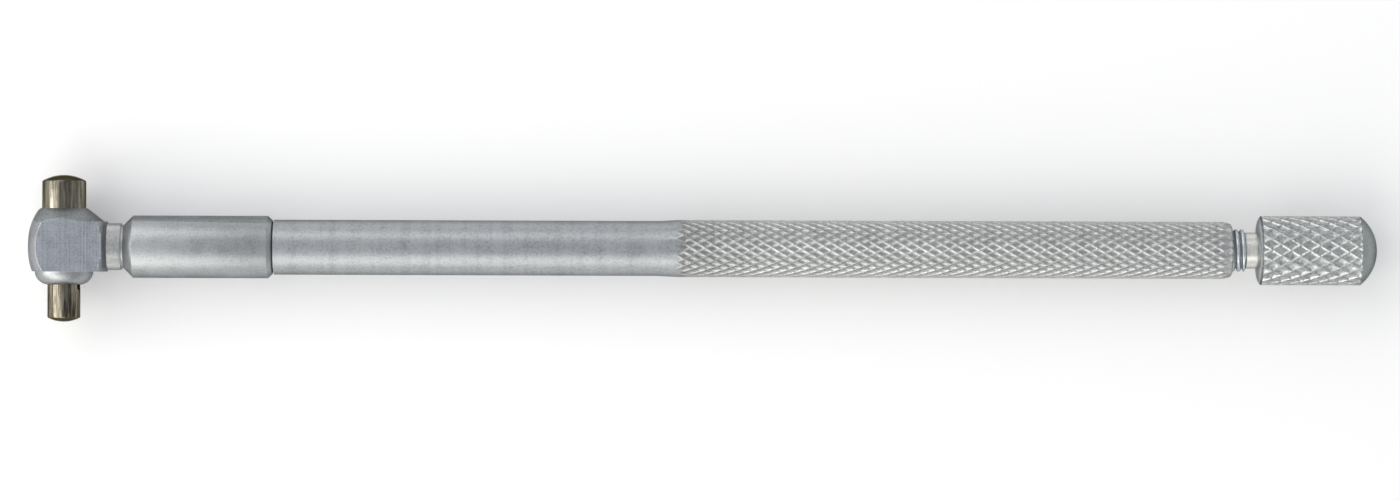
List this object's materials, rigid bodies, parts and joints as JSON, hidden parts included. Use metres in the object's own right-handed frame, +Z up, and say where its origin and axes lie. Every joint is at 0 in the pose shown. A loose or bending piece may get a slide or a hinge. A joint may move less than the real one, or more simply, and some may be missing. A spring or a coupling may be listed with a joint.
{
  "type": "telescoping gauge",
  "caption": "Telescoping bore gauge: sprung plungers in a cross head, locked by a knurled screw at the end of a slim knurled handle.",
  "frame": {"origin": "on the back flat of the head, below the crossing of the plunger axis and the handle axis", "axes": "+X along the handle towards the locking knob, +Y along the large plunger, +Z up off the back flat"},
  "size_m": [0.1187, 0.0129, 0.0065],
  "materials": {
    "satin_steel": "satin",
    "plunger_steel": "polished",
    "rod_steel": "ground",
    "spring_steel": "bright"
  },
  "bodies": {
    "gauge_body": {"head": "satin_steel", "handle": "satin_steel"},
    "large_plunger": {"large_plunger": "plunger_steel"},
    "small_plunger": {"small_plunger": "plunger_steel", "plunger_spring": "spring_steel"},
    "lock_rod": {"lock_rod": "rod_steel"},
    "lock_screw": {"lock_screw": "satin_steel"}
  },
  "joints": [
    {"name": "large_plunger_slide", "type": "slide", "parent": "gauge_body", "child": "large_plunger", "axis": [0, -1, 0], "range_m": [0, 0.00235], "stiffness_N_per_m": 50, "springref_m": -0.004, "deforming": ["plunger_spring"]},
    {"name": "small_plunger_slide", "type": "slide", "parent": "gauge_body", "child": "small_plunger", "axis": [0, 1, 0], "range_m": [0, 0.0026], "stiffness_N_per_m": 50, "springref_m": -0.004, "deforming": ["plunger_spring"]},
    {"name": "lock_rod_slide", "type": "slide", "parent": "gauge_body", "child": "lock_rod", "axis": [-1, 0, 0], "range_m": [-0.00010411, 0.00010411]},
    {"name": "lock_screw_turn", "type": "hinge", "parent": "lock_rod", "child": "lock_screw", "pos_m": [0.1048, 0, 0.00325], "axis": [-1, 0, 0], "range_deg": [-75, 75]}
  ],
  "couplings": [
    {"joint": "lock_screw_turn", "follows": "lock_rod_slide", "rad_per_m": 12566}
  ]
}
